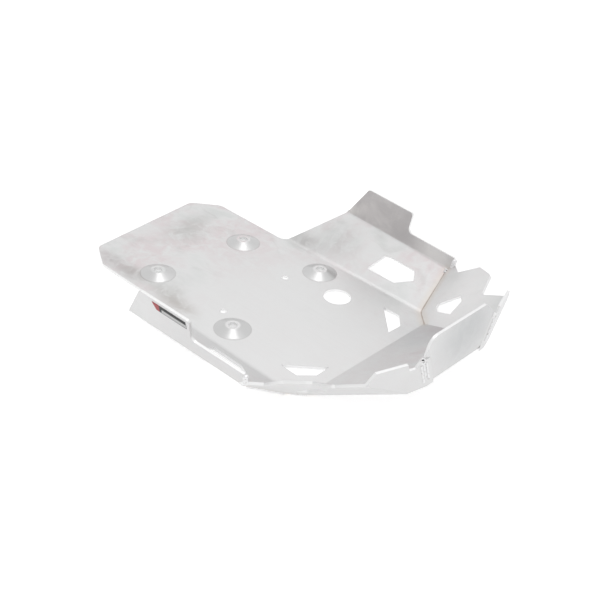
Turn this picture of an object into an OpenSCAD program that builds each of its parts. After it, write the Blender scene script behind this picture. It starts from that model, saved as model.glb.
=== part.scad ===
// Motorcycle engine guard of the skid plate type, folded and welded from aluminium sheet.
// X points forward, Y to the left of the machine, Z up. The underside of the floor is at Z = 0.

/* [Sheet] */
// Thickness of the sheet
sheet_t = 3; // [2.5:0.1:4]
// Inside radius of the bends along the floor sides
side_bend_r = 12; // [8:1:16]
// Inside radius of the bend at the foot of the front wall
wall_bend_r = 9; // [6:0.5:10]
// Inside radius of the other bends
bend_r = 4; // [3:0.5:5]

/* [Floor] */
// Distance of the rear edge behind the front bend, on the centre line
floor_l = 341; // [325:1:355]
// Angle of the rear edge, its left end further back
rear_skew = 6.2; // [0:0.2:8]
// Half the width of the narrow rear part
rear_half_w = 98; // [96:1:100]
// Half the width between the side bends
side_fold_y = 104; // [103:1:106]
// Length of each rear corner cut along the side
corner_cut_l = 31; // [25:1:36]
// Width of the left rear corner cut across the plate
left_cut_w = 25; // [20:1:30]
// Width of the right rear corner cut across the plate
right_cut_w = 19; // [16:1:24]
// Rounding of the rear corner cuts
corner_r = 10; // [4:1:14]
// Distance of the side panels behind the front bend, at the floor
notch_back = 212; // [205:1:216]
// Fillet in the inside corner behind each side panel
notch_r = 12; // [4:1:16]
// Half the length of the front bend, between the wings
nose_fold_y = 88.5; // [86:0.5:92]

/* [Side panels and flanges] */
// Slope of the side panels
side_slope = 30.5; // [28:0.5:33]
// Width of a side panel, measured at the front bend
side_w = 58.5; // [55:0.5:62]
// Taper of the side panels towards the front
side_taper = 2.5; // [0:0.5:3]
// Forward sweep of the rear edges
rear_sweep = 29.5; // [25:0.5:34]
// Further bend of the upright flanges
flange_bend = 49; // [42:1:54]
// Height of the rear tab of a flange
tab_h = 37.5; // [30:0.5:42]
// Height of the low lip of a flange
lip_h = 15; // [11:0.5:18]
// Distance of the step behind the front bend
step_back = 87.5; // [75:0.5:95]
// Distance of the flange end behind the front bend
flange_end_back = 21; // [18:0.5:24]
// Rounding of the tab corners
tab_r = 3.5; // [2:0.5:7]
// Fillet at the foot of the step
step_r = 6; // [3:0.5:8]

/* [Ramp and front wall] */
// Slope of the ramp
ramp_slope = 25.7; // [24:0.1:27.5]
// Length of the ramp
ramp_l = 102; // [98:1:106]
// Slope of the front wall
wall_slope = 92; // [88:1:94]
// Height of the front wall
wall_h = 50.5; // [46:0.5:54]
// Half the width of the front wall at its foot
wall_foot_y = 44.8; // [43:0.2:47]
// Height where the corner cuts of the front wall begin
wall_side_h = 31; // [27:1:34]
// Half the width of the top edge of the front wall
wall_top_y = 35.5; // [30:0.5:38]
// Rounding of the right corner of the front wall
wall_corner_r = 13; // [8:1:15]

/* [Wings] */
// Slope of the wings
wing_slope = 44.5; // [43.5:0.1:45.5]
// Turn of the wings away from straight ahead
wing_turn = 46; // [45:0.2:47]
// Slope of the nose panels that stand on the wings
nose_slope = 85; // [83:0.5:87]
// Turn of the nose panels away from straight ahead
nose_turn = 18; // [16.5:0.5:19.5]
// Height of the top edge of the nose panels above their foot
nose_h = 31; // [27:0.5:33]

/* [Mounting dimples and holes] */
// Diameter of the foot of a dimple
dimple_d = 38; // [34:1:42]
// Diameter of the flat top of a dimple
dimple_top_d = 15; // [13:0.5:18]
// Height of a dimple above the floor
dimple_h = 5.2; // [3:0.2:7]
// Diameter of the bolt holes in the dimples
bolt_d = 9; // [7:0.5:11]
// Diameter of the two small round holes
small_hole_d = 8; // [6:0.5:10]
// Diameter of the oil drain access hole
drain_d = 30; // [24:1:36]

/* [Welds and label] */
// Radius of the weld beads
weld_r = 3; // [2:0.2:4]
// Length of the blank label
label_l = 45; // [30:1:48]
// Height of the blank label
label_h = 7; // [5:0.5:12]

/* [Hidden] */
label_t = 0.4;
label_gap = 3.5;
// The nose welds begin this far above the foot of the front wall
weld_start = 9;
// The other welds stop this far from the corners
weld_gap = 4;
reach = 700;
margin = 9;
fine = 48;
hole_cut = 60;
// Place of the front bend that puts the middle of the whole length at X = 0
rear_reach = floor_l + (rear_half_w - left_cut_w) * tan(rear_skew) - 0.3;
front_x = (rear_reach - ramp_l * cos(ramp_slope) - sheet_t - weld_r / 2) / 2;

rear_x = front_x - floor_l;
notch_x = front_x - notch_back;
wall_x = front_x + ramp_l * cos(ramp_slope);
wall_z = ramp_l * sin(ramp_slope);
sweep = tan(rear_sweep);
wall_bend = wall_slope - ramp_slope;

// Bolt dimples, drain hole and small holes, as distance behind the front bend and place across
dimples = [[248, -64], [238.5, 56], [121, -74], [138, 77]];
small_holes = [[155.5, 39.5], [150.5, -58.5]];
drain_hole = [93, 55.5];

// Four-sided floor cut-out, as distance behind the front bend and place across
floor_cutout = [[48, 79.5], [26.5, 80], [14, 65.5], [14.5, 46.5]];
// Six-sided cut-out of a side panel, as distance behind the front bend and up the panel
side_cutout = [[103.5, 16.5], [64.5, 16.5], [47.5, 29.5], [54.5, 41], [90, 42.2], [96, 40.5]];
// Cut-out of a wing and its outer edge, as distance up the wing and to the left
wing_cutout = [[18, 14], [21, 17], [47.5, 6], [46.5, -3.5], [30.5, -11.5], [18, 5]];
wing_edge = [
    [91.9, -39], [70, -14.5], [70, -11.5], [84.5, 6.5], [84, 12], [78, 30.5], [53, 46.5], [53, 62], [46, 72]
];
// Top edge of a nose panel, as height and distance to the left of the foot of the wall
nose_edge = [
    [nose_h, 13.5], [nose_h - 7.5, 17.5], [nose_h - 7.5, 24.5], [nose_h, 27], [nose_h, 60], [20.6, 67.5]
];

function unit(v) = v / norm(v);
// Inner normal of a panel that rises towards a direction in plan
function inner_normal(turn, slope) = [-cos(turn) * sin(slope), -sin(turn) * sin(slope), cos(slope)];
// Rounds the corners of an outline, given as points with a radius each
function rounded(points) = [
    for (i = [0:len(points) - 1])
        let (n = len(points), p = [points[i].x, points[i].y], r = points[i].z,
             a = unit([points[(i + n - 1) % n].x, points[(i + n - 1) % n].y] - p),
             b = unit([points[(i + 1) % n].x, points[(i + 1) % n].y] - p),
             half = acos(max(-1, min(1, a * b))) / 2, middle = unit(a + b),
             centre = p + middle * r / sin(half), swing = 90 - half,
             turn = a.x * b.y - a.y * b.x < 0 ? 1 : -1, start = atan2(-middle.y, -middle.x))
        each r == 0 ? [p] : [for (k = [-4:4]) centre
            + r * [cos(start + turn * swing * k / 4), sin(start + turn * swing * k / 4)]]
];

side_normal = inner_normal(90, side_slope);
wing_normal = inner_normal(wing_turn, wing_slope);
wall_normal = inner_normal(0, wall_slope);
nose_normal = inner_normal(nose_turn, nose_slope);
// Where the left wing meets the side bend
wing_corner = [front_x - (side_fold_y - nose_fold_y) * tan(wing_turn), side_fold_y, 0];
// Way and length of the seam that runs up from there between the wing and the side panel
seam_way = unit(cross(wing_normal, side_normal));
seam_rise = seam_way.y * cos(side_slope) + seam_way.z * sin(side_slope);
seam_l = (side_w + (front_x - wing_corner.x) * tan(side_taper))
    / (seam_rise + seam_way.x * tan(side_taper));

module on_left() { translate([0, side_fold_y, 0]) rotate([side_slope, 0, 0]) children(); }
module on_left_flange() {
    on_left() translate([front_x, side_w, 0]) rotate([0, 0, -side_taper])
        rotate([flange_bend, 0, 0]) children();
}
module on_ramp() { translate([front_x, 0, 0]) rotate([0, -ramp_slope, 0]) children(); }
module on_wall() { translate([wall_x, 0, wall_z]) rotate([0, -wall_slope, 0]) children(); }
module on_left_wing() {
    translate([front_x, nose_fold_y, 0]) rotate([0, 0, wing_turn])
        rotate([0, -wing_slope, 0]) children();
}
module on_left_nose() {
    translate([wall_x, wall_foot_y, wall_z]) rotate([0, 0, nose_turn])
        rotate([0, -nose_slope, 0]) children();
}
module both_sides() {
    children();
    mirror([0, 1, 0]) children();
}
// All space on the inner side of a panel, from a depth below its inner face
module above(depth) { translate([-reach, -reach, -depth]) cube([2 * reach, 2 * reach, reach]); }
// Slab that holds a panel of the given outline
module slab(points) { translate([0, 0, -sheet_t - 1]) linear_extrude(sheet_t + 3) polygon(points); }

module side_space(depth) {
    intersection() {
        on_left() above(depth);
        on_left_flange() above(depth);
    }
}
module wing_space(depth) {
    intersection() {
        on_left_wing() above(depth);
        on_left_nose() above(depth);
    }
}
module both_wing_spaces(depth) {
    intersection() {
        wing_space(depth);
        mirror([0, 1, 0]) wing_space(depth);
    }
}
// The hollow of the folded tray, grown outwards by a depth
module tray_space(depth) {
    intersection() {
        above(depth);
        side_space(depth);
        mirror([0, 1, 0]) side_space(depth);
        on_ramp() above(depth);
        on_wall() above(depth);
    }
}
// The same hollow with a fillet in every bend
module tray_hollow() {
    difference() {
        tray_space(0);
        both_sides() at_side_bend() inside_of_bend(side_slope, side_bend_r, reach);
        both_sides() at_flange_bend() inside_of_bend(flange_bend, bend_r, reach);
        at_ramp_bend() inside_of_bend(ramp_slope, bend_r, 2 * nose_fold_y);
        at_wall_bend() inside_of_bend(wall_bend, wall_bend_r, 2 * side_fold_y);
    }
}

module floor_slab() {
    skew = tan(rear_skew);
    left_x = rear_x - rear_half_w * skew;
    right_x = rear_x + rear_half_w * skew;
    side = rear_half_w;
    far = margin + side_fold_y;
    run = (far - side) * sweep;
    start = notch_x - (side_fold_y - side) * sweep;
    slab(rounded([
        [right_x + corner_cut_l, -side, corner_r],
        [right_x - right_cut_w * skew, right_cut_w - side, corner_r],
        [left_x + left_cut_w * skew, side - left_cut_w, corner_r],
        [left_x + corner_cut_l, side, corner_r],
        [start, side, notch_r], [start + run, far, 0], [front_x + margin, far, 0],
        [front_x + margin, -far, 0], [start + run, -far, 0], [start, -side, notch_r]
    ]));
}
module side_slab() {
    top = side_w + floor_l * tan(side_taper);
    slab([[notch_x - margin * sweep, -margin], [front_x + margin, -margin],
        [front_x + margin, side_w + margin], [notch_x + (top + margin) * sweep, top + margin]]);
}
module flange_slab() {
    side_top = side_w + (notch_back - side_w * sweep) * tan(side_taper);
    rear = side_top * sweep - notch_back;
    slab(rounded([
        [rear - margin * sweep, -margin, 0], [-flange_end_back + margin, -margin, 0],
        [-flange_end_back, lip_h, 2], [-step_back, lip_h, step_r], [-step_back, tab_h, tab_r],
        [rear + tab_h * sweep, tab_h, tab_r]
    ]));
}
module ramp_slab() {
    slab([[-margin, nose_fold_y + margin], [-margin, -nose_fold_y - margin],
        [ramp_l + margin, -wall_foot_y - 3 * margin], [ramp_l + margin, wall_foot_y + 3 * margin]]);
}
module wall_slab() {
    side = wall_foot_y + margin;
    slab(rounded([
        [-margin, -side, 0], [-margin, side, 0],
        [wall_side_h, side + margin, 0], [wall_side_h, wall_foot_y + 12, 3],
        [wall_h, wall_top_y, 3], [wall_h, -wall_foot_y - 4, wall_corner_r],
        [wall_side_h, -wall_foot_y - 10, 0], [wall_side_h, -side - margin, 0]
    ]));
}
module wing_slab() {
    slab(concat(wing_edge, [[-margin, 26], [-margin, -12], [60, -110]]));
}
module nose_slab() {
    slab(concat(nose_edge, [[-margin, 34], [-margin, -margin], [nose_h, -margin]]));
}

// Cross-section between the corner of two panels and the arc that rounds it,
// at a depth below their inner faces
module bend_corner(angle, inside_r, depth) {
    flat = inside_r * tan(angle / 2);
    centre = [-flat, inside_r];
    past = depth + 1;
    difference() {
        polygon([
            [past * tan(angle / 2), -past],
            [flat * cos(angle) + past * sin(angle), flat * sin(angle) - past * cos(angle)],
            centre, [-flat, -past]
        ]);
        translate(centre) circle(inside_r + depth + 0.01, $fn = fine);
    }
}
module inside_of_bend(angle, inside_r, length) {
    rotate([90, 0, 90]) linear_extrude(length) bend_corner(angle, inside_r, 0);
}
module outside_of_bend(angle, inside_r, length) {
    rotate([90, 0, 90]) linear_extrude(length) bend_corner(angle, inside_r, sheet_t);
}
module at_side_bend() { translate([rear_x, side_fold_y, 0]) children(); }
module at_flange_bend() {
    on_left() translate([front_x, side_w, 0]) rotate([0, 0, -side_taper])
        translate([-floor_l, 0, 0]) children();
}
module at_ramp_bend() { translate([front_x, nose_fold_y, 0]) rotate([0, 0, -90]) children(); }
module at_wall_bend() { on_ramp() translate([ramp_l, side_fold_y, 0]) rotate([0, 0, -90]) children(); }

module dimple() {
    foot = dimple_d / 2;
    top = dimple_top_d / 2;
    rotate_extrude($fn = 96) polygon([
        [bolt_d / 2, dimple_h], [top, dimple_h], [foot - 1.2, 0.4], [foot, 0],
        [foot + 2, 0], [foot + 2, sheet_t],
        [foot + 0.3, sheet_t], [foot - 0.6, sheet_t + 0.5], [top + 1.2, sheet_t + dimple_h - 0.5],
        [top, sheet_t + dimple_h], [bolt_d / 2, sheet_t + dimple_h]
    ]);
}

module sheet_blank() {
    intersection() {
        both_wing_spaces(0);
        difference() {
            tray_space(sheet_t);
            tray_hollow();
        }
        union() {
            floor_slab();
            both_sides() on_left() side_slab();
            both_sides() on_left_flange() flange_slab();
            on_ramp() ramp_slab();
            on_wall() wall_slab();
        }
    }
}
module folded_sheet() {
    difference() {
        sheet_blank();
        both_sides() at_side_bend() outside_of_bend(side_slope, side_bend_r, floor_l);
        both_sides() at_flange_bend() outside_of_bend(flange_bend, bend_r, floor_l);
        at_ramp_bend() outside_of_bend(ramp_slope, bend_r, 2 * nose_fold_y);
        at_wall_bend() outside_of_bend(wall_bend, wall_bend_r, 2 * side_fold_y);
    }
}
module floor_openings() {
    for (place = dimples) translate([front_x - place.x, place.y, -1])
        cylinder(d = dimple_d + 1, h = hole_cut, $fn = 96);
    for (place = small_holes) translate([front_x - place.x, place.y, -hole_cut / 2])
        cylinder(d = small_hole_d, h = hole_cut, $fn = fine);
    translate([front_x - drain_hole.x, drain_hole.y, -hole_cut / 2])
        cylinder(d = drain_d, h = hole_cut, $fn = 96);
    both_sides() translate([0, 0, -hole_cut / 2]) linear_extrude(hole_cut)
        polygon([for (p = floor_cutout) [front_x - p.x, p.y]]);
    both_sides() on_left() translate([0, 0, -hole_cut / 2]) linear_extrude(hole_cut)
        polygon([for (p = side_cutout) [front_x - p.x, p.y]]);
}

module guard_plate() {
    color("#b9babd") {
        difference() {
            translate([0, 0, sheet_t]) folded_sheet();
            floor_openings();
        }
        for (place = dimples) translate([front_x - place.x, place.y, 0]) dimple();
    }
}

module wing() {
    difference() {
        intersection() {
            tray_space(sheet_t);
            wing_space(sheet_t);
            union() {
                on_left_wing() wing_slab();
                on_left_nose() nose_slab();
            }
        }
        wing_space(0);
        on_left_wing() translate([0, 0, -hole_cut / 2]) linear_extrude(hole_cut) polygon(wing_cutout);
    }
}
module left_wing() { color("#adaeb2") translate([0, 0, sheet_t]) wing(); }
module right_wing() { color("#adaeb2") translate([0, 0, sheet_t]) mirror([0, 1, 0]) wing(); }

// Weld bead along the outside of a corner, given as two points where the inner faces meet
// and the two inner normals
module bead(from, to, normal_a, normal_b) {
    out = -(normal_a + normal_b) * sheet_t / (1 + normal_a * normal_b);
    run = to - from;
    translate(from + out + unit(normal_a + normal_b) * weld_r / 2)
        rotate([0, acos(run.z / norm(run)), atan2(run.y, run.x)])
            cylinder(r = weld_r, h = norm(run), $fn = fine);
}
module seam_weld() {
    difference() {
        bead(wing_corner + seam_way * weld_gap, wing_corner + seam_way * (seam_l - weld_gap),
            side_normal, wing_normal);
        intersection() {
            on_left() above(sheet_t);
            on_left_wing() above(sheet_t);
        }
    }
}
module corner_weld() {
    foot = [front_x, nose_fold_y, 0];
    way = unit(foot - wing_corner);
    difference() {
        intersection() {
            bead(wing_corner + way * weld_gap, foot - way * weld_gap, [0, 0, 1], wing_normal);
            above(sheet_t);
        }
        on_left_wing() above(sheet_t);
    }
}
module nose_weld() {
    foot = [wall_x, wall_foot_y, wall_z];
    way = unit(cross(wall_normal, nose_normal));
    difference() {
        bead(foot + way * weld_start, foot + way * wall_side_h, wall_normal, nose_normal);
        intersection() {
            on_wall() above(sheet_t);
            on_left_nose() above(sheet_t);
        }
    }
}
module left_seam_weld() { color("#c9c6c1") translate([0, 0, sheet_t]) seam_weld(); }
module right_seam_weld() { color("#c9c6c1") translate([0, 0, sheet_t]) mirror([0, 1, 0]) seam_weld(); }
module left_corner_weld() { color("#c9c6c1") translate([0, 0, sheet_t]) corner_weld(); }
module right_corner_weld() { color("#c9c6c1") translate([0, 0, sheet_t]) mirror([0, 1, 0]) corner_weld(); }
module left_nose_weld() { color("#c9c6c1") translate([0, 0, sheet_t]) nose_weld(); }
module right_nose_weld() { color("#c9c6c1") translate([0, 0, sheet_t]) mirror([0, 1, 0]) nose_weld(); }
// Blank label on the outer face of the right rear tab, with slanted ends
module label() {
    color("#17181a") translate([0, 0, sheet_t]) mirror([0, 1, 0]) on_left_flange()
        translate([-step_back - label_gap - label_l, tab_h - label_gap - label_h, -sheet_t - label_t])
            linear_extrude(label_t)
                polygon([[5.5, 0], [label_l, 0], [label_l - 1.5, label_h], [0, label_h]]);
}

guard_plate();
left_wing();
right_wing();
left_seam_weld();
right_seam_weld();
left_corner_weld();
right_corner_weld();
left_nose_weld();
right_nose_weld();
label();
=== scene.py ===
import math

import bpy
from mathutils import Matrix, Vector


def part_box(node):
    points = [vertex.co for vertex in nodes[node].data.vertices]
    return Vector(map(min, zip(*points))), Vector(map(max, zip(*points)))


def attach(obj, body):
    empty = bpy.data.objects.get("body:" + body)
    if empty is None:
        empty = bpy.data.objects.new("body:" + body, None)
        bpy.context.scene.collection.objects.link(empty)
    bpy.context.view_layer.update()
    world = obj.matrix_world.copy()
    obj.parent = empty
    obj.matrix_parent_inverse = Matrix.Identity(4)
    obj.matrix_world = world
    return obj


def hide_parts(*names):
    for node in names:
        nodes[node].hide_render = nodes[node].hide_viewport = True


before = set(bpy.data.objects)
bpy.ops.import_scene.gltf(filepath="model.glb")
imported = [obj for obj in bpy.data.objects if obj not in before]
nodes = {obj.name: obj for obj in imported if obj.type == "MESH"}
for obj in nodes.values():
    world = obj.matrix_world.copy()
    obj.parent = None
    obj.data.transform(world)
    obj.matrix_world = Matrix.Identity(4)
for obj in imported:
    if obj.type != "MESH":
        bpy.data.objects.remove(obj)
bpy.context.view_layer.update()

# Sizes of the part from the CAD source, in metres and degrees
SHEET = 0.003
FRONT_BEND_X = 0.12611
SIDE_FOLD_Y = 0.104
SIDE_SLOPE = 30.5
SIDE_W = 0.0585
SIDE_TAPER = 2.5
FLANGE_BEND = 49
FLANGE_END_BACK = 0.021
LIP_H = 0.015
RAMP_SLOPE = 25.7
RAMP_L = 0.102
WALL_SLOPE = 92
WALL_FOOT_Y = 0.0448
WALL_SIDE_H = 0.031
WING_FOOT_Y = 0.0885
WING_SLOPE = 44.5
WING_TURN = 46
NOSE_SLOPE = 85
NOSE_TURN = 18
LABEL_FOOT = 0.027
WELD_START = 0.009
WELD_GAP = 0.004
DIMPLE_FOOT_R = 0.019
DIMPLE_TOP_R = 0.0075
DIMPLES = tuple(Vector((FRONT_BEND_X - back, across, 0)) for back, across in (
    (0.248, -0.064), (0.2385, 0.056), (0.121, -0.074), (0.138, 0.077)))

# Length of the seam between a wing and a side panel
SEAM_L = 0.0575

# Weld beads: radius of a solidified puddle, how deep its centre lies in the corner, and the distance
# between puddles. The bead in the floor corner lies a little outside its corner line
BEAD_R = 0.0022
NOSE_BEAD_R = 0.0014
BEAD_DEPTH = 0.0007
BEAD_STEP = 0.0016
CORNER_BEAD_OUT = 0.0008
# Tack on the front edge of a flange: it stays this far behind the edge and from the ends of the edge
LIP_TACK_R = 0.0030
LIP_TACK_IN = 0.001
LIP_TACK_START = 0.004
LIP_TACK_STOP = 0.003
# Tack where the foot of the flange meets the seam, and how far it runs down and up the seam
FOOT_TACK_R = 0.0024
FOOT_TACK_DOWN = 0.002
FOOT_TACK_UP = 0.001
# Raised plate edges beside the nose weld, and how far they stay from its corner line and from its ends
RIDGE_R = 0.0011
RIDGE_STEP = 0.0008
RIDGE_AWAY = 0.0030
RIDGE_START = 0.006
RIDGE_STOP = 0.003
# Ring and pit where the right nose weld ends: how far past its end, and how far further up and inwards
CRATER_R = 0.0022
CRATER_RIM_R = 0.0008
CRATER_PAST = 0.0005
CRATER_IN = 0.001
PIT_R = 0.0020
PIT_TOP_R = 0.0007
PIT_H = 0.0010

# Past the faces of a panel, its bends still count as rolled sheet up to this far, and so do the dimples
# up to a height above the floor
BEND_REACH = 0.002
DIMPLE_RISE = 0.009
# Painted highlight: a bright rim on the slanting side of the front wall, by depth below its inner face
PAINTED_RIM_DEPTH = 0.0013
# Half the width of the line of painted shade at the foot of a dimple, and of its glossier flank, painted
# darker as shade, with its blur
FOOT_LINE_HALF_W = 0.0007
FLANK_HALF_W = 0.0052
FLANK_BLUR = 0.0006
# What lies further out than this and faces as a flange does is a flange
FLANGE_Y = 0.15
# The clean middle of the floor
CLEAN_MIDDLE = Vector((0.035, -0.02, 0))
# Stains and patches of painted shade that reach further than this are even, smaller ones are ragged
EVEN_PATCH_MM = 45
# Pale marks on the inner face of a flange, along it and up it from the front bend
PALE_FLANGE_SPOTS = (Vector((-0.168, 0.006, 0)), Vector((-0.05, 0.009, 0)))
LIP_MIDDLE = Vector((-0.045, 0.008, 0))

# Label: length of its red end, its blur, where the pale stripe starts, its middle and half its height
LABEL_RED_L = 0.0096
LABEL_BLUR = 0.0002
STRIPE_START = 0.0125
STRIPE_MIDDLE = 0.0023
STRIPE_HALF_H = 0.0017


def turned(axis, degrees):
    return Matrix.Rotation(math.radians(degrees), 4, axis)


# Frames of the panels on the left side: the inner face is at Z = 0 and its normal is +Z
WALL_X = FRONT_BEND_X + RAMP_L * math.cos(math.radians(RAMP_SLOPE))
WALL_Z = SHEET + RAMP_L * math.sin(math.radians(RAMP_SLOPE))
floor_panel = Matrix.Translation((0, 0, SHEET))
side_panel = Matrix.Translation((0, SIDE_FOLD_Y, SHEET)) @ turned("X", SIDE_SLOPE)
flange_panel = (side_panel @ Matrix.Translation((FRONT_BEND_X, SIDE_W, 0)) @ turned("Z", -SIDE_TAPER)
                @ turned("X", FLANGE_BEND))
ramp_panel = Matrix.Translation((FRONT_BEND_X, 0, SHEET)) @ turned("Y", -RAMP_SLOPE)
wall_panel = Matrix.Translation((WALL_X, 0, WALL_Z)) @ turned("Y", -WALL_SLOPE)
wing_panel = (Matrix.Translation((FRONT_BEND_X, WING_FOOT_Y, SHEET)) @ turned("Z", WING_TURN)
              @ turned("Y", -WING_SLOPE))
nose_panel = (Matrix.Translation((WALL_X, WALL_FOOT_Y, WALL_Z)) @ turned("Z", NOSE_TURN)
              @ turned("Y", -NOSE_SLOPE))

# The label sits on the right flange, the mirror of the left one
label_panel = Matrix.Scale(-1, 4, Vector((0, 1, 0))) @ flange_panel


def normal_of(panel):
    return panel.col[2].xyz


# Where the left wing meets the side bend, and the seam that runs up from there
wing_corner = Vector((FRONT_BEND_X - (SIDE_FOLD_Y - WING_FOOT_Y) * math.tan(math.radians(WING_TURN)),
                      SIDE_FOLD_Y, SHEET))
wing_foot = Vector((FRONT_BEND_X, WING_FOOT_Y, SHEET))
nose_foot = Vector((WALL_X, WALL_FOOT_Y, WALL_Z))
seam_way = normal_of(wing_panel).cross(normal_of(side_panel)).normalized()
nose_way = normal_of(wall_panel).cross(normal_of(nose_panel)).normalized()
seam_end = wing_corner + seam_way * SEAM_L


# Place and turn of the photograph's camera, solved from the folds of the guard
def photo_camera():
    lens = bpy.data.cameras.new("photo_camera")
    lens.sensor_width = 36
    lens.lens = 60
    camera = bpy.data.objects.new("photo_camera", lens)
    bpy.context.scene.collection.objects.link(camera)
    right = Vector((0.729109, 0.677829, 0.094591))
    up = Vector((-0.429567, 0.345643, 0.834268))
    back = Vector((0.532796, -0.648905, 0.543185))
    turn = Matrix((right, up, back)).transposed().to_4x4()
    camera.matrix_world = Matrix.Translation((0.579581, -0.672329, 0.581616)) @ turn
    bpy.context.scene.camera = camera


def colour(hex_code):
    """sRGB hex to the linear colour that a shader reads."""
    channels = [int(hex_code[i:i + 2], 16) / 255 for i in (1, 3, 5)]
    return [c / 12.92 if c <= 0.04045 else ((c + 0.055) / 1.055) ** 2.4 for c in channels] + [1]


def add(tree, kind, inputs=None, **settings):
    """Adds a node with its settings; inputs, by name or number, are values or other nodes' outputs."""
    node = tree.nodes.new(kind)
    for name, value in settings.items():
        setattr(node, name, value)
    for key, value in (inputs or {}).items():
        if isinstance(value, bpy.types.NodeSocket):
            tree.links.new(value, node.inputs[key])
        else:
            node.inputs[key].default_value = value
    return node.outputs


def new_material(name):
    material = bpy.data.materials.new(name)
    material.use_nodes = True
    material.node_tree.nodes.clear()
    return material, material.node_tree


def stain_and_shade_patch(tree, coords, ragged, base, centre_mm, reach_mm, stretch, strength, tone):
    """A smudge, a pale patch or a patch of painted shade on the sheet: small ones are ragged, wide ones are
    even.
    """
    centre = Vector(centre_mm) / 1000
    away = add(tree, "ShaderNodeVectorMath", {0: coords, 1: centre}, operation="SUBTRACT")[0]
    away = add(tree, "ShaderNodeVectorMath", {0: away, 1: stretch}, operation="MULTIPLY")[0]
    far = add(tree, "ShaderNodeVectorMath", {0: away}, operation="LENGTH")[1]
    near = add(tree, "ShaderNodeMapRange", {"Value": far, "From Min": reach_mm / 1000, "From Max": 0.0,
                                            "To Max": strength}, interpolation_type="SMOOTHSTEP")[0]
    broken = 0.2 if reach_mm > EVEN_PATCH_MM else 0.65
    amount = add(tree, "ShaderNodeMapRange", {"Value": ragged, "To Min": 1 - broken})[0]
    amount = add(tree, "ShaderNodeMath", {0: near, 1: amount}, operation="MULTIPLY")[0]
    return add(tree, "ShaderNodeMix", {0: amount, 6: base, 7: colour(tone)}, data_type="RGBA")[2]


def seam_distance(tree, coords, start, end):
    """Distance from a straight weld seam, in metres."""
    run = end - start
    way = run.normalized()
    away = add(tree, "ShaderNodeVectorMath", {0: coords, 1: start}, operation="SUBTRACT")[0]
    along = add(tree, "ShaderNodeVectorMath", {0: away, 1: way}, operation="DOT_PRODUCT")[1]
    along = add(tree, "ShaderNodeClamp", {"Value": along, "Min": 0.0, "Max": run.length})[0]
    nearest = add(tree, "ShaderNodeVectorMath", {0: way, "Scale": along}, operation="SCALE")[0]
    away = add(tree, "ShaderNodeVectorMath", {0: away, 1: nearest}, operation="SUBTRACT")[0]
    return add(tree, "ShaderNodeVectorMath", {0: away}, operation="LENGTH")[1]


def rolled_face(tree, coords, normal, panel, above):
    """1 on the rolled faces of a panel, its bends and what is pressed up above it, 0 elsewhere."""
    facing = add(tree, "ShaderNodeVectorMath", {0: normal, 1: normal_of(panel)},
                 operation="DOT_PRODUCT")[1]
    facing = add(tree, "ShaderNodeMath", {0: facing}, operation="ABSOLUTE")[0]
    facing = add(tree, "ShaderNodeMath", {0: facing, 1: 1.0, 2: 0.2}, operation="COMPARE")[0]
    height = add(tree, "ShaderNodeVectorMath", {0: coords, 1: normal_of(panel)},
                 operation="DOT_PRODUCT")[1]
    middle = panel.translation.dot(normal_of(panel)) + (above - SHEET) / 2
    reach = (above + SHEET) / 2 + BEND_REACH
    inside = add(tree, "ShaderNodeMath", {0: height, 1: middle, 2: reach}, operation="COMPARE")[0]
    return add(tree, "ShaderNodeMath", {0: facing, 1: inside}, operation="MULTIPLY")[0]


def cut_side(tree, coords, normal, panel, cut_along):
    """1 by the edge of the slanting side where a panel is cut along another, nearly parallel one; there a
    bright rim is painted as a highlight.
    """
    facing = add(tree, "ShaderNodeVectorMath", {0: normal, 1: normal_of(cut_along)},
                 operation="DOT_PRODUCT")[1]
    facing = add(tree, "ShaderNodeMath", {0: facing, 1: -1.0, 2: 0.005}, operation="COMPARE")[0]
    height = add(tree, "ShaderNodeVectorMath", {0: coords, 1: normal_of(panel)},
                 operation="DOT_PRODUCT")[1]
    rim = panel.translation.dot(normal_of(panel)) - PAINTED_RIM_DEPTH
    inside = add(tree, "ShaderNodeMath", {0: height, 1: rim}, operation="GREATER_THAN")[0]
    return add(tree, "ShaderNodeMath", {0: facing, 1: inside}, operation="MULTIPLY")[0]


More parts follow.
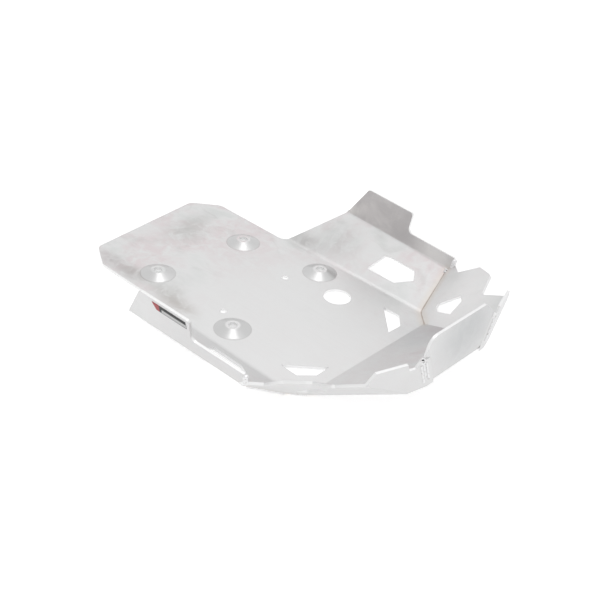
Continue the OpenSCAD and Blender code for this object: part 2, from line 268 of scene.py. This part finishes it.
def mill_finish_aluminium(name, panels, cut_sides, dirt, stains_and_shade, dimples):
    """Rolled aluminium sheet as it leaves the mill, cut by laser and folded: soft blurred gloss with a
    fine grain, clouds of pink and green-grey oxidation, and heat tint by the welds. The cut edges carry a
    painted highlight; the inner faces of the flanges and the dimples carry painted shade."""
    material, tree = new_material(name)
    coords = add(tree, "ShaderNodeTexCoord")["Object"]
    axes = add(tree, "ShaderNodeSeparateXYZ", {"Vector": coords})
    sign = add(tree, "ShaderNodeMath", {0: axes["Y"]}, operation="SIGN")[0]
    # The right half is read as the mirror of the left one where a pattern follows the panels
    left = add(tree, "ShaderNodeCombineXYZ", {"X": 1.0, "Y": sign, "Z": 1.0})[0]
    folded = add(tree, "ShaderNodeVectorMath", {0: coords, 1: left}, operation="MULTIPLY")[0]
    facing = add(tree, "ShaderNodeNewGeometry")["True Normal"]
    facing = add(tree, "ShaderNodeVectorMath", {0: facing, 1: left}, operation="MULTIPLY")[0]

    # Clouds about 70 mm wide and mottle of 14 mm
    cloud = add(tree, "ShaderNodeTexNoise", {
        "Vector": coords, "Scale": 1000 / 70, "Detail": 4.0, "Roughness": 0.6, "Distortion": 0.4})[0]
    mottle = add(tree, "ShaderNodeTexNoise", {
        "Vector": coords, "Scale": 1000 / 14, "Detail": 4.0, "Roughness": 0.6, "Distortion": 0.8})[0]
    # Smears about 32 mm long and 20 mm across
    shifted = add(tree, "ShaderNodeMapping", {
        "Vector": coords, "Location": (0.7, 0.2, 0.1), "Scale": (1, 1.6, 1)})[0]
    smear = add(tree, "ShaderNodeTexNoise", {
        "Vector": shifted, "Scale": 1000 / 32, "Detail": 4.0, "Roughness": 0.62, "Distortion": 0.7})[0]
    # A rolling grain 1.1 mm across, coarser than the real one
    drawn = add(tree, "ShaderNodeMapping", {"Vector": coords, "Scale": (0.02, 1, 1)})[0]
    grain = add(tree, "ShaderNodeTexNoise", {"Vector": drawn, "Scale": 1000 / 1.1, "Detail": 2.0})[0]

    # The middle and front of the floor stayed clean; the clouds lie towards the rear and the sides
    spread = add(tree, "ShaderNodeVectorMath", {0: coords, 1: CLEAN_MIDDLE}, operation="SUBTRACT")[0]
    spread = add(tree, "ShaderNodeVectorMath", {0: spread}, operation="LENGTH")[1]
    dirty = add(tree, "ShaderNodeMapRange", {
        "Value": spread, "From Min": 0.07, "From Max": 0.19, "To Min": 0.08, "To Max": dirt},
        interpolation_type="SMOOTHSTEP")[0]
    # The outer faces were under the mill's film, so only a trace of the clouds is left there
    inner = add(tree, "ShaderNodeVectorMath", {0: facing, 1: (-1, -1, 1)}, operation="DOT_PRODUCT")[1]
    inner = add(tree, "ShaderNodeMapRange", {
        "Value": inner, "From Min": -0.1, "From Max": 0.1, "To Min": 0.2})[0]
    dirty = add(tree, "ShaderNodeMath", {0: dirty, 1: inner}, operation="MULTIPLY")[0]
    ragged = add(tree, "ShaderNodeMapRange", {"Value": mottle, "From Min": 0.28, "From Max": 0.62},
                 interpolation_type="SMOOTHSTEP")[0]
    pink = add(tree, "ShaderNodeMapRange", {"Value": cloud, "From Min": 0.4, "From Max": 0.56},
               interpolation_type="SMOOTHSTEP")[0]
    pink = add(tree, "ShaderNodeMath", {0: pink, 1: ragged}, operation="MULTIPLY")[0]
    pink = add(tree, "ShaderNodeMath", {0: pink, 1: dirty}, operation="MULTIPLY")[0]
    base = add(tree, "ShaderNodeMix", {0: pink, 6: colour("#dfdfdf"), 7: colour("#dbd4d5")},
               data_type="RGBA")[2]
    green = add(tree, "ShaderNodeMapRange", {
        "Value": cloud, "From Min": 0.44, "From Max": 0.3, "To Max": 0.5},
        interpolation_type="SMOOTHSTEP")[0]
    green = add(tree, "ShaderNodeMath", {0: green, 1: dirty}, operation="MULTIPLY")[0]
    base = add(tree, "ShaderNodeMix", {0: green, 6: base, 7: colour("#cdd1cf")}, data_type="RGBA")[2]
    grey = add(tree, "ShaderNodeMapRange", {
        "Value": smear, "From Min": 0.5, "From Max": 0.75, "To Max": 0.3},
        interpolation_type="SMOOTHSTEP")[0]
    grey = add(tree, "ShaderNodeMath", {0: grey, 1: dirty}, operation="MULTIPLY")[0]
    base = add(tree, "ShaderNodeMix", {0: grey, 6: base, 7: colour("#b9b5b4")}, data_type="RGBA")[2]
    for centre_mm, reach_mm, stretch, strength, tone in stains_and_shade:
        base = stain_and_shade_patch(tree, coords, ragged, base, centre_mm, reach_mm, stretch, strength, tone)

    # Painted shade: the inner faces of the flanges are painted a darker brown-grey, patchy along their
    # length
    inward = add(tree, "ShaderNodeVectorMath", {0: facing, 1: normal_of(flange_panel)},
                 operation="DOT_PRODUCT")[1]
    inward = add(tree, "ShaderNodeMapRange", {"Value": inward, "From Min": 0.93, "From Max": 0.99})[0]
    outboard = add(tree, "ShaderNodeSeparateXYZ", {"Vector": folded})["Y"]
    outboard = add(tree, "ShaderNodeMath", {0: outboard, 1: FLANGE_Y}, operation="GREATER_THAN")[0]
    inward = add(tree, "ShaderNodeMath", {0: inward, 1: outboard}, operation="MULTIPLY")[0]
    patchy = add(tree, "ShaderNodeMapRange", {"Value": smear, "From Min": 0.32, "From Max": 0.68},
                 interpolation_type="SMOOTHSTEP")[0]
    shaded_flange_tone = add(tree, "ShaderNodeMix", {0: patchy, 6: colour("#c3c0c0"), 7: colour("#d3d0cf")},
                data_type="RGBA")[2]
    # Pale spots near the rear foot of the tab and on the lip
    for place in PALE_FLANGE_SPOTS:
        mark_mm = (flange_panel @ place) * 1000
        shaded_flange_tone = stain_and_shade_patch(tree, folded, ragged, shaded_flange_tone, mark_mm, 9, (0.6, 1, 1), 0.9, "#e0dedb")
    # Towards the front the low lip is paler
    lip_mm = (flange_panel @ LIP_MIDDLE) * 1000
    shaded_flange_tone = stain_and_shade_patch(tree, folded, ragged, shaded_flange_tone, lip_mm, 46, (1, 1, 1), 0.9, "#e9e7e6")
    # Painted shade on the inner faces of the flanges
    base = add(tree, "ShaderNodeMix", {0: inward, 6: base, 7: shaded_flange_tone}, data_type="RGBA")[2]

    # Heat tint on both sides of the seams: a straw halo and a thin, broken brown line
    floor_seam = seam_distance(tree, folded, wing_corner, wing_foot)
    side_seam = seam_distance(tree, folded, wing_corner, seam_end)
    near = add(tree, "ShaderNodeMath", {0: floor_seam, 1: side_seam}, operation="MINIMUM")[0]
    near = add(tree, "ShaderNodeMath", {0: mottle, 1: 0.003, 2: near}, operation="MULTIPLY_ADD")[0]
    straw = add(tree, "ShaderNodeMapRange", {
        "Value": near, "From Min": 0.011, "From Max": 0.003, "To Max": 0.3},
        interpolation_type="SMOOTHSTEP")[0]
    base = add(tree, "ShaderNodeMix", {0: straw, 6: base, 7: colour("#dccfc0")}, data_type="RGBA")[2]
    brown = add(tree, "ShaderNodeMapRange", {
        "Value": near, "From Min": 0.0027, "From Max": 0.0015, "To Max": 0.5},
        interpolation_type="SMOOTHSTEP")[0]
    base = add(tree, "ShaderNodeMix", {0: brown, 6: base, 7: colour("#a08a78")}, data_type="RGBA")[2]

    # Painted shade: a fine grey line in the crease at the foot of each dimple, and flanks painted darker.
    # The press's burnishing also left the flanks glossier
    burnished_shaded_flank = 0.0
    flank_middle = (DIMPLE_FOOT_R + DIMPLE_TOP_R) / 2
    for dimple in dimples:
        away = add(tree, "ShaderNodeVectorMath", {0: coords, 1: dimple}, operation="SUBTRACT")[0]
        away = add(tree, "ShaderNodeVectorMath", {0: away, 1: (1, 1, 0)}, operation="MULTIPLY")[0]
        away = add(tree, "ShaderNodeVectorMath", {0: away}, operation="LENGTH")[1]
        foot = add(tree, "ShaderNodeMath", {0: away, 1: DIMPLE_FOOT_R, 2: FOOT_LINE_HALF_W},
                   operation="COMPARE")[0]
        foot = add(tree, "ShaderNodeMath", {0: foot, 1: 0.3}, operation="MULTIPLY")[0]
        base = add(tree, "ShaderNodeMix", {0: foot, 6: base, 7: colour("#a8a6a4")}, data_type="RGBA")[2]
        away = add(tree, "ShaderNodeMath", {0: away, 1: flank_middle}, operation="SUBTRACT")[0]
        away = add(tree, "ShaderNodeMath", {0: away}, operation="ABSOLUTE")[0]
        flank = add(tree, "ShaderNodeMapRange", {
            "Value": away, "From Min": FLANK_HALF_W + FLANK_BLUR, "From Max": FLANK_HALF_W - FLANK_BLUR})[0]
        burnished_shaded_flank = add(tree, "ShaderNodeMath", {0: burnished_shaded_flank, 1: flank}, operation="MAXIMUM")[0]
    # Painted shade on the flanks of the dimples
    base = add(tree, "ShaderNodeMix", {0: burnished_shaded_flank, 6: base, 7: colour("#d2d2d2")}, data_type="RGBA")[2]

    # Cut edges are painted near white as a highlight, and every face that isn't a rolled one is such an
    # edge
    rolled = 0.0
    for panel, above in panels:
        face = rolled_face(tree, folded, facing, panel, above)
        rolled = add(tree, "ShaderNodeMath", {0: rolled, 1: face}, operation="MAXIMUM")[0]
    for panel, cut_along in cut_sides:
        side = cut_side(tree, folded, facing, panel, cut_along)
        rolled = add(tree, "ShaderNodeMath", {0: rolled, 1: side}, operation="SUBTRACT", use_clamp=True)[0]
    base = add(tree, "ShaderNodeMix", {0: rolled, 6: colour("#f2f2f2"), 7: base}, data_type="RGBA")[2]

    rough = add(tree, "ShaderNodeMapRange", {
        "Value": grain, "From Min": 0.3, "From Max": 0.7, "To Min": 0.38, "To Max": 0.48})[0]
    rough = add(tree, "ShaderNodeMix", {0: burnished_shaded_flank, 2: rough, 3: 0.29})[0]
    relief = add(tree, "ShaderNodeMath", {0: mottle, 1: 1.4, 2: grain}, operation="MULTIPLY_ADD")[0]
    soft_edge = add(tree, "ShaderNodeBevel", {"Radius": 0.0005}, samples=4)[0]
    bump = add(tree, "ShaderNodeBump", {
        "Height": relief, "Strength": 0.35, "Distance": 0.00006, "Normal": soft_edge})[0]
    shader = add(tree, "ShaderNodeBsdfPrincipled", {
        "Base Color": base, "Metallic": 0.85, "Roughness": rough, "Normal": bump})[0]
    add(tree, "ShaderNodeOutputMaterial", {"Surface": shader})
    return material


def aluminium_weld_metal():
    """Solidified aluminium weld puddles: brighter and glossier than the sheet, sooty in the hollows."""
    material, tree = new_material("aluminium_weld_metal")
    coords = add(tree, "ShaderNodeTexCoord")["Object"]
    speckle = add(tree, "ShaderNodeTexNoise", {"Vector": coords, "Scale": 1000 / 2.2, "Detail": 3.0})[0]
    clean = add(tree, "ShaderNodeMapRange", {"Value": speckle, "From Min": 0.3, "From Max": 0.5})[0]
    base = add(tree, "ShaderNodeMix", {0: clean, 6: colour("#d2d0ce"), 7: colour("#f0f0f1")},
               data_type="RGBA")[2]
    rough = add(tree, "ShaderNodeMapRange", {
        "Value": speckle, "From Min": 0.3, "From Max": 0.7, "To Min": 0.24, "To Max": 0.42})[0]
    bump = add(tree, "ShaderNodeBump", {"Height": speckle, "Strength": 0.2, "Distance": 0.0001})[0]
    shader = add(tree, "ShaderNodeBsdfPrincipled", {
        "Base Color": base, "Metallic": 0.9, "Roughness": rough, "Normal": bump})[0]
    add(tree, "ShaderNodeOutputMaterial", {"Surface": shader})
    return material


def weld_soot():
    """Burnt, oxidised metal in the pit of a weld crater: almost black, dull and grainy."""
    material, tree = new_material("weld_soot")
    coords = add(tree, "ShaderNodeTexCoord")["Object"]
    speckle = add(tree, "ShaderNodeTexNoise", {"Vector": coords, "Scale": 1000 / 0.6})[0]
    base = add(tree, "ShaderNodeMix", {0: speckle, 6: colour("#1d1b1a"), 7: colour("#3c3836")},
               data_type="RGBA")[2]
    shader = add(tree, "ShaderNodeBsdfPrincipled", {"Base Color": base, "Roughness": 0.8})[0]
    add(tree, "ShaderNodeOutputMaterial", {"Surface": shader})
    return material


def printed_vinyl_film():
    """Printed vinyl film: satin black with a plain red end, a pale stripe along its lower edge and the
    faint dimples of its glue."""
    material, tree = new_material("printed_vinyl_film")
    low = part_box("label")[0]
    coords = add(tree, "ShaderNodeTexCoord")["Object"]
    axes = add(tree, "ShaderNodeSeparateXYZ", {"Vector": coords})
    red_stop = low[0] + LABEL_RED_L
    red_end = add(tree, "ShaderNodeMapRange", {
        "Value": axes["X"], "From Min": red_stop + LABEL_BLUR, "From Max": red_stop - LABEL_BLUR})[0]
    base = add(tree, "ShaderNodeMix", {0: red_end, 6: colour("#1c1c1f"), 7: colour("#bf5156")},
               data_type="RGBA")[2]
    # The stripe follows the tab, so its height is measured up the flange
    upward = label_panel.col[1].xyz
    height = add(tree, "ShaderNodeVectorMath", {0: coords, 1: upward}, operation="DOT_PRODUCT")[1]
    stripe_z = label_panel.translation.dot(upward) + LABEL_FOOT + STRIPE_MIDDLE
    stripe = add(tree, "ShaderNodeMath", {0: height, 1: stripe_z, 2: STRIPE_HALF_H}, operation="COMPARE")[0]
    after_red = add(tree, "ShaderNodeMath", {0: axes["X"], 1: low[0] + STRIPE_START},
                    operation="GREATER_THAN")[0]
    stripe = add(tree, "ShaderNodeMath", {0: stripe, 1: after_red}, operation="MULTIPLY")[0]
    base = add(tree, "ShaderNodeMix", {0: stripe, 6: base, 7: colour("#dcdcdc")}, data_type="RGBA")[2]
    dimples = add(tree, "ShaderNodeTexNoise", {"Vector": coords, "Scale": 1000 / 1.5})[0]
    bump = add(tree, "ShaderNodeBump", {"Height": dimples, "Strength": 0.15, "Distance": 0.00004})[0]
    shader = add(tree, "ShaderNodeBsdfPrincipled", {
        "Base Color": base, "Roughness": 0.38, "Normal": bump})[0]
    add(tree, "ShaderNodeOutputMaterial", {"Surface": shader})
    return material


# Smudges where the sheet was gripped and pressed, and painted shade that darkens the ramp and the front
# wall evenly: centre and reach in mm, stretch, strength, tone
PLATE_STAINS_AND_SHADE = (
    ((-173, 23, 3), 34, (1, 0.8, 1), 0.6, "#b9bdba"),
    ((-185, 51, 3), 26, (1.2, 0.7, 1), 0.5, "#bdbcba"),
    ((-170, -84, 3), 30, (0.7, 1.6, 1), 0.7, "#b5adae"),
    ((-137, -84, 3), 28, (0.8, 1.5, 1), 0.7, "#aeaba9"),
    ((-91, -78, 3), 30, (0.8, 1.3, 1), 0.55, "#b0b0ac"),
    ((-63, -87, 3), 28, (0.7, 1.6, 1), 0.55, "#aaa49f"),
    ((-66, 110, 5), 28, (0.7, 1.5, 1), 0.7, "#b2b0af"),
    ((-32, 128, 18), 38, (0.8, 1, 1), 0.5, "#babebc"),
    # Painted shade: the last three darken the ramp and the front wall evenly
    ((150, 70, 14), 62, (1.0, 0.9, 1), 0.30, "#a9acb1"),
    ((172, 22, 26), 80, (1.2, 0.8, 1), 0.08, "#b6b9bd"),
    ((220, 10, 82), 58, (1.0, 0.8, 1), 0.8, "#bec0c1"),
)
# The left wing is painted paler, near white, within 75 mm of a point on it
WING_PALE_PATCH = (((148, 112, 35), 75, (1, 1, 1), 0.7, "#f6f6f6"),)


def dress(node_name, material):
    piece = nodes[node_name]
    piece.data.materials.clear()
    piece.data.materials.append(material)


def bead_tree():
    """Weld bead as a run of flattened, overlapping puddles between two points."""
    tree = bpy.data.node_groups.new("weld_bead_run", "GeometryNodeTree")
    sockets = {"Start": "Vector", "End": "Vector", "Radius": "Float", "Spacing": "Float", "Seed": "Int",
               "Metal": "Material"}
    for name, kind in sockets.items():
        tree.interface.new_socket(name, in_out="INPUT", socket_type=f"NodeSocket{kind}")
    tree.interface.new_socket("Bead", in_out="OUTPUT", socket_type="NodeSocketGeometry")
    given = add(tree, "NodeGroupInput")
    run = add(tree, "GeometryNodeCurvePrimitiveLine", {"Start": given["Start"], "End": given["End"]})[0]
    points = add(tree, "GeometryNodeCurveToPoints", {"Curve": run, "Length": given["Spacing"]},
                 mode="LENGTH")
    puddle = add(tree, "GeometryNodeMeshUVSphere", {
        "Segments": 18, "Rings": 10, "Radius": given["Radius"]})[0]
    size = add(tree, "FunctionNodeRandomValue", {
        0: Vector((0.94, 0.94, 0.5)), 1: Vector((1.0, 1.0, 0.65)), "Seed": given["Seed"]},
        data_type="FLOAT_VECTOR")[0]
    placed = add(tree, "GeometryNodeInstanceOnPoints", {
        "Points": points["Points"], "Instance": puddle, "Rotation": points["Rotation"], "Scale": size})[0]
    mesh = add(tree, "GeometryNodeRealizeInstances", {"Geometry": placed})[0]
    mesh = add(tree, "GeometryNodeSetShadeSmooth", {"Geometry": mesh})[0]
    mesh = add(tree, "GeometryNodeSetMaterial", {"Geometry": mesh, "Material": given["Metal"]})[0]
    add(tree, "NodeGroupOutput", {"Bead": mesh})
    return tree


def weld_bead(name, start, end, radius, step, metal, tree, seed):
    """One bead as a plain mesh in its own piece."""
    maker = bpy.data.objects.new("bead_maker", bpy.data.meshes.new("bead_maker"))
    bpy.context.scene.collection.objects.link(maker)
    modifier = maker.modifiers.new("bead", "NODES")
    modifier.node_group = tree
    values = {"Start": start, "End": end, "Radius": radius, "Spacing": step, "Seed": seed, "Metal": metal}
    for socket in tree.interface.items_tree:
        if socket.name in values:
            modifier[socket.identifier] = values[socket.name]
    made = maker.evaluated_get(bpy.context.evaluated_depsgraph_get())
    piece = bpy.data.objects.new(name, bpy.data.meshes.new_from_object(made))
    bpy.data.objects.remove(maker)
    bpy.context.scene.collection.objects.link(piece)
    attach(piece, "root")
    return piece


def outer_corner(panel_a, panel_b, depth):
    """From the inner corner of two panels to the line at a given depth inside their outer corner."""
    normal_a = normal_of(panel_a)
    normal_b = normal_of(panel_b)
    both = normal_a + normal_b
    return both.normalized() * depth - both * SHEET / (1 + normal_a.dot(normal_b))


def weld_the_guard(metal):
    """Beads, tacks and raised plate edges on both sides. Returns a point just past the left nose bead."""
    tree = bead_tree()
    along = (wing_foot - wing_corner).normalized()
    outward = Vector((math.cos(math.radians(WING_TURN)), math.sin(math.radians(WING_TURN)), 0))
    seam = outer_corner(side_panel, wing_panel, BEAD_DEPTH)
    corner = outer_corner(floor_panel, wing_panel, 0) + outward * CORNER_BEAD_OUT + Vector((0, 0, BEAD_R))
    nose = outer_corner(wall_panel, nose_panel, BEAD_DEPTH)
    runs = (
        ("seam", BEAD_R, wing_corner + seam + seam_way * WELD_GAP, seam_end + seam - seam_way * WELD_GAP),
        ("corner", BEAD_R, wing_corner + corner + along * WELD_GAP, wing_foot + corner - along * WELD_GAP),
        ("nose", NOSE_BEAD_R, nose_foot + nose + nose_way * WELD_START,
         nose_foot + nose + nose_way * WALL_SIDE_H),
    )
    # Tacks: down the front edge of the flange, and where its foot meets the top of the seam
    edge = Vector((LIP_TACK_IN - FLANGE_END_BACK, 0, -SHEET / 2))
    lip_foot = flange_panel @ (edge + Vector((0, LIP_TACK_START, 0)))
    lip_top = flange_panel @ (edge + Vector((0, LIP_H - LIP_TACK_STOP, 0)))
    tacks = (
        ("lip", LIP_TACK_R, lip_foot, lip_top),
        ("foot", FOOT_TACK_R, seam_end - seam_way * FOOT_TACK_DOWN, seam_end + seam_way * FOOT_TACK_UP),
    )
    # Plate edges that stand up as fine ridges on both sides of the nose weld
    corner_line = outer_corner(wall_panel, nose_panel, 0) + nose_foot
    ridges = (
        ("wall", nose_way.cross(normal_of(wall_panel)) * RIDGE_AWAY),
        ("nose", normal_of(nose_panel).cross(nose_way) * RIDGE_AWAY),
    )
    for side, mirror in (("left", Vector((1, 1, 1))), ("right", Vector((1, -1, 1)))):
        for seed, (name, radius, start, end) in enumerate(runs):
            bead = weld_bead(f"{side}_{name}_bead", start * mirror, end * mirror, radius, BEAD_STEP,
                             metal, tree, seed)
            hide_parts(f"{side}_{name}_weld")
        for seed, (name, radius, start, end) in enumerate(tacks, 5):
            weld_bead(f"{side}_{name}_tack", start * mirror, end * mirror, radius, BEAD_STEP,
                      metal, tree, seed)
        for name, shift in ridges:
            start = corner_line + shift + nose_way * RIDGE_START
            end = corner_line + shift + nose_way * (WALL_SIDE_H - RIDGE_STOP)
            weld_bead(f"{side}_{name}_ridge", start * mirror, end * mirror, RIDGE_R, RIDGE_STEP,
                      metal, tree, 7)
    return corner_line + nose_way * (WALL_SIDE_H + CRATER_PAST)


def weld_crater(end, metal):
    """Ring with a sooty pit above the right nose weld, where the arc was broken off."""
    outward = -(normal_of(wall_panel) + normal_of(nose_panel)).normalized()
    mirror = Vector((1, -1, 1))
    turn = ((outward + nose_way) * mirror).to_track_quat("Z", "Y").to_matrix().to_4x4()
    place = Matrix.Translation((end + (nose_way - outward) * CRATER_IN) * mirror) @ turn
    bpy.ops.mesh.primitive_torus_add(major_radius=CRATER_R, minor_radius=CRATER_RIM_R,
                                     major_segments=28, minor_segments=12)
    ring = bpy.context.object
    ring.name = "right_weld_crater"
    ring.data.transform(place)
    ring.data.shade_smooth()
    ring.data.materials.append(metal)
    bpy.ops.mesh.primitive_cone_add(vertices=24, radius1=PIT_R, radius2=PIT_TOP_R, depth=PIT_H)
    pit = bpy.context.object
    pit.name = "right_crater_pit"
    pit.data.transform(place)
    pit.data.materials.append(weld_soot())
    for piece in (ring, pit):
        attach(piece, "root")


def studio_floor():
    """Matt white floor that keeps the guard's soft shadow. Its glow, which only the camera and reflections
    see, lifts it to white."""
    material, tree = new_material("matt_white_floor")
    rays = add(tree, "ShaderNodeLightPath")
    mirrored = add(tree, "ShaderNodeMath", {0: rays["Is Glossy Ray"], 1: rays["Is Transmission Ray"]},
                   operation="MAXIMUM")[0]
    seen = add(tree, "ShaderNodeMath", {0: rays["Is Camera Ray"], 1: mirrored}, operation="MAXIMUM")[0]
    strength = add(tree, "ShaderNodeMath", {0: seen, 1: 0.45}, operation="MULTIPLY")[0]
    matt = add(tree, "ShaderNodeBsdfDiffuse", {"Color": colour("#ffffff")})[0]
    glow = add(tree, "ShaderNodeEmission", {"Color": colour("#ffffff"), "Strength": strength})[0]
    both = add(tree, "ShaderNodeAddShader", {0: matt, 1: glow})[0]
    add(tree, "ShaderNodeOutputMaterial", {"Surface": both})
    bpy.ops.mesh.primitive_plane_add(size=14, location=(0, 0, -0.0003))
    floor = bpy.context.object
    floor.name = "studio_floor"
    floor.data.materials.append(material)


def studio_world():
    """White studio all round: full white to the camera, 0.94 in reflections and 0.6 as soft light."""
    world = bpy.data.worlds.new("white_studio")
    bpy.context.scene.world = world
    world.use_nodes = True
    tree = world.node_tree
    tree.nodes.clear()
    rays = add(tree, "ShaderNodeLightPath")
    mirrored = add(tree, "ShaderNodeMath", {0: rays["Is Glossy Ray"], 1: rays["Is Transmission Ray"]},
                   operation="MAXIMUM")[0]
    bright = add(tree, "ShaderNodeMath", {0: rays["Is Camera Ray"], 1: 0.4, 2: 0.6},
                 operation="MULTIPLY_ADD")[0]
    bright = add(tree, "ShaderNodeMath", {0: mirrored, 1: 0.34, 2: bright}, operation="MULTIPLY_ADD")[0]
    sky = add(tree, "ShaderNodeBackground", {"Color": colour("#ffffff"), "Strength": bright})[0]
    add(tree, "ShaderNodeOutputWorld", {"Surface": sky})


def softbox(name, place, size, power):
    lamp = bpy.data.lights.new(name, "AREA")
    lamp.shape = "SQUARE"
    lamp.size = size
    lamp.energy = power
    lamp_object = bpy.data.objects.new(name, lamp)
    bpy.context.scene.collection.objects.link(lamp_object)
    lamp_object.location = place
    lamp_object.rotation_euler = (-Vector(place)).to_track_quat("-Z", "Y").to_euler()


photo_camera()

plate_panels = ((floor_panel, DIMPLE_RISE), (side_panel, 0), (flange_panel, 0), (ramp_panel, 0),
                (wall_panel, 0))
wing_panels = ((wing_panel, 0), (nose_panel, 0))
plate_sheet = mill_finish_aluminium("mill_finish_aluminium_plate", plate_panels,
                                    ((wall_panel, nose_panel),), 1.0, PLATE_STAINS_AND_SHADE, DIMPLES)
wing_sheet = mill_finish_aluminium("mill_finish_aluminium_wing", wing_panels, (), 0.45, WING_PALE_PATCH, ())
dress("guard_plate", plate_sheet)
dress("left_wing", wing_sheet)
dress("right_wing", wing_sheet)
dress("label", printed_vinyl_film())
weld_metal = aluminium_weld_metal()
weld_crater(weld_the_guard(weld_metal), weld_metal)

studio_floor()
studio_world()
softbox("softbox_overhead", (-0.16, 0.2, 1.5), 0.55, 1.4)
softbox("softbox_rear", (-0.9, 1.0, 1.9), 1.6, 2.4)
softbox("softbox_front", (1.5, -0.9, 1.2), 1.4, 1.5)

bpy.context.scene.view_settings.view_transform = "Standard"
